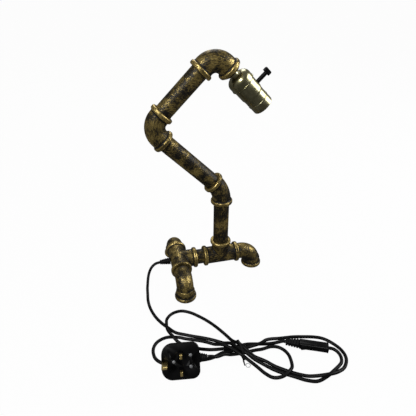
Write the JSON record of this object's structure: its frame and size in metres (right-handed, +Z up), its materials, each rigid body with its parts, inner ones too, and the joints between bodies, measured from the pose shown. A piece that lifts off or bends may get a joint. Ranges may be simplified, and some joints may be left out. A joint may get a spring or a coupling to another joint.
{
  "type": "table lamp",
  "caption": "Table lamp made of threaded pipe and fittings, with arms that turn in their joints, a turn-key lamp holder, and a mains lead with in-line switch and three-pin plug.",
  "frame": {"origin": "on the floor, under the middle of the lamp's box without its lead, plug and in-line switch", "axes": "+Z up, +X from the lead's tee towards the front foot, the side that the lamp holder points to; the lead lies on the -Y side"},
  "size_m": [0.2783, 0.3507, 0.3918],
  "materials": {
    "iron": "near-black iron with brushed antique gold on its high places",
    "brass": "polished antique brass",
    "bright_brass": "plain brass",
    "black_plastic": "semi-gloss black moulding",
    "black_rubber": "matt black",
    "fibre": "pressed fibre board",
    "steel": "zinc-plated steel"
  },
  "bodies": {
    "base": {"front_foot_elbow": "iron", "back_foot_elbow": "iron", "right_foot_elbow": "iron", "foot_tee": "iron", "tee_nipple": "iron", "riser_tee": "iron", "cord_gland": "black_plastic", "gland_nut": "black_plastic", "base_cable": "black_rubber", "lead_cord": "black_rubber", "tail_cord": "black_rubber", "cord_tie": "black_rubber", "tie_wire": "steel", "switch_front": "black_plastic", "switch_back": "black_plastic", "switch_boot": "black_rubber", "switch_contacts": "bright_brass", "switch_screws": "steel", "plug_base": "black_plastic", "plug_cover": "black_plastic", "live_pin": "bright_brass", "neutral_pin": "bright_brass", "earth_pin": "bright_brass", "pin_sleeves": "black_plastic", "plug_fuse": "steel", "fuse_clips": "bright_brass", "cord_grip": "fibre", "plug_screws": "steel", "plug_boot": "black_rubber"},
    "lower_arm": {"riser_pipe": "iron", "low_elbow": "iron", "lower_arm_pipe": "iron", "lower_arm_cable": "black_rubber"},
    "upper_arm": {"knee_elbow": "iron", "upper_arm_pipe": "iron", "upper_arm_cable": "black_rubber"},
    "head": {"head_elbow": "iron", "reducing_bush": "iron", "thread_nipple": "brass", "socket_cap": "brass", "cap_insulator": "fibre", "socket_shell": "brass", "shell_liner": "fibre", "switch_block": "black_plastic", "screw_shell": "bright_brass", "centre_contact": "bright_brass", "terminal_screws": "bright_brass", "head_cable": "black_rubber", "head_wires": "black_rubber"},
    "switch_key": {"key_spindle": "bright_brass", "key_knob": "black_plastic"},
    "inline_rocker": {"switch_rocker": "black_plastic"}
  },
  "joints": [
    {"name": "arm_swivel", "type": "hinge", "parent": "base", "child": "lower_arm", "pos_m": [0.02014, 0, 0.053], "axis": [0, 0, 1], "range_deg": [-90, 90]},
    {"name": "knee_turn", "type": "hinge", "parent": "lower_arm", "child": "upper_arm", "pos_m": [-0.09512, 0, 0.28476], "axis": [-0.7071, 0, 0.7071], "range_deg": [-90, 90]},
    {"name": "head_turn", "type": "hinge", "parent": "upper_arm", "child": "head", "pos_m": [0.00564, 0, 0.38552], "axis": [0.7071, 0, 0.7071], "range_deg": [-90, 90]},
    {"name": "key_turn", "type": "hinge", "parent": "head", "child": "switch_key", "pos_m": [0.05868, 0, 0.33249], "axis": [0.7071, 0, 0.7071], "continuous": true},
    {"name": "rocker_press", "type": "hinge", "parent": "base", "child": "inline_rocker", "pos_m": [0.09492, -0.21315, 0.0055], "axis": [0, 0, 1], "range_deg": [-16, 0]}
  ]
}
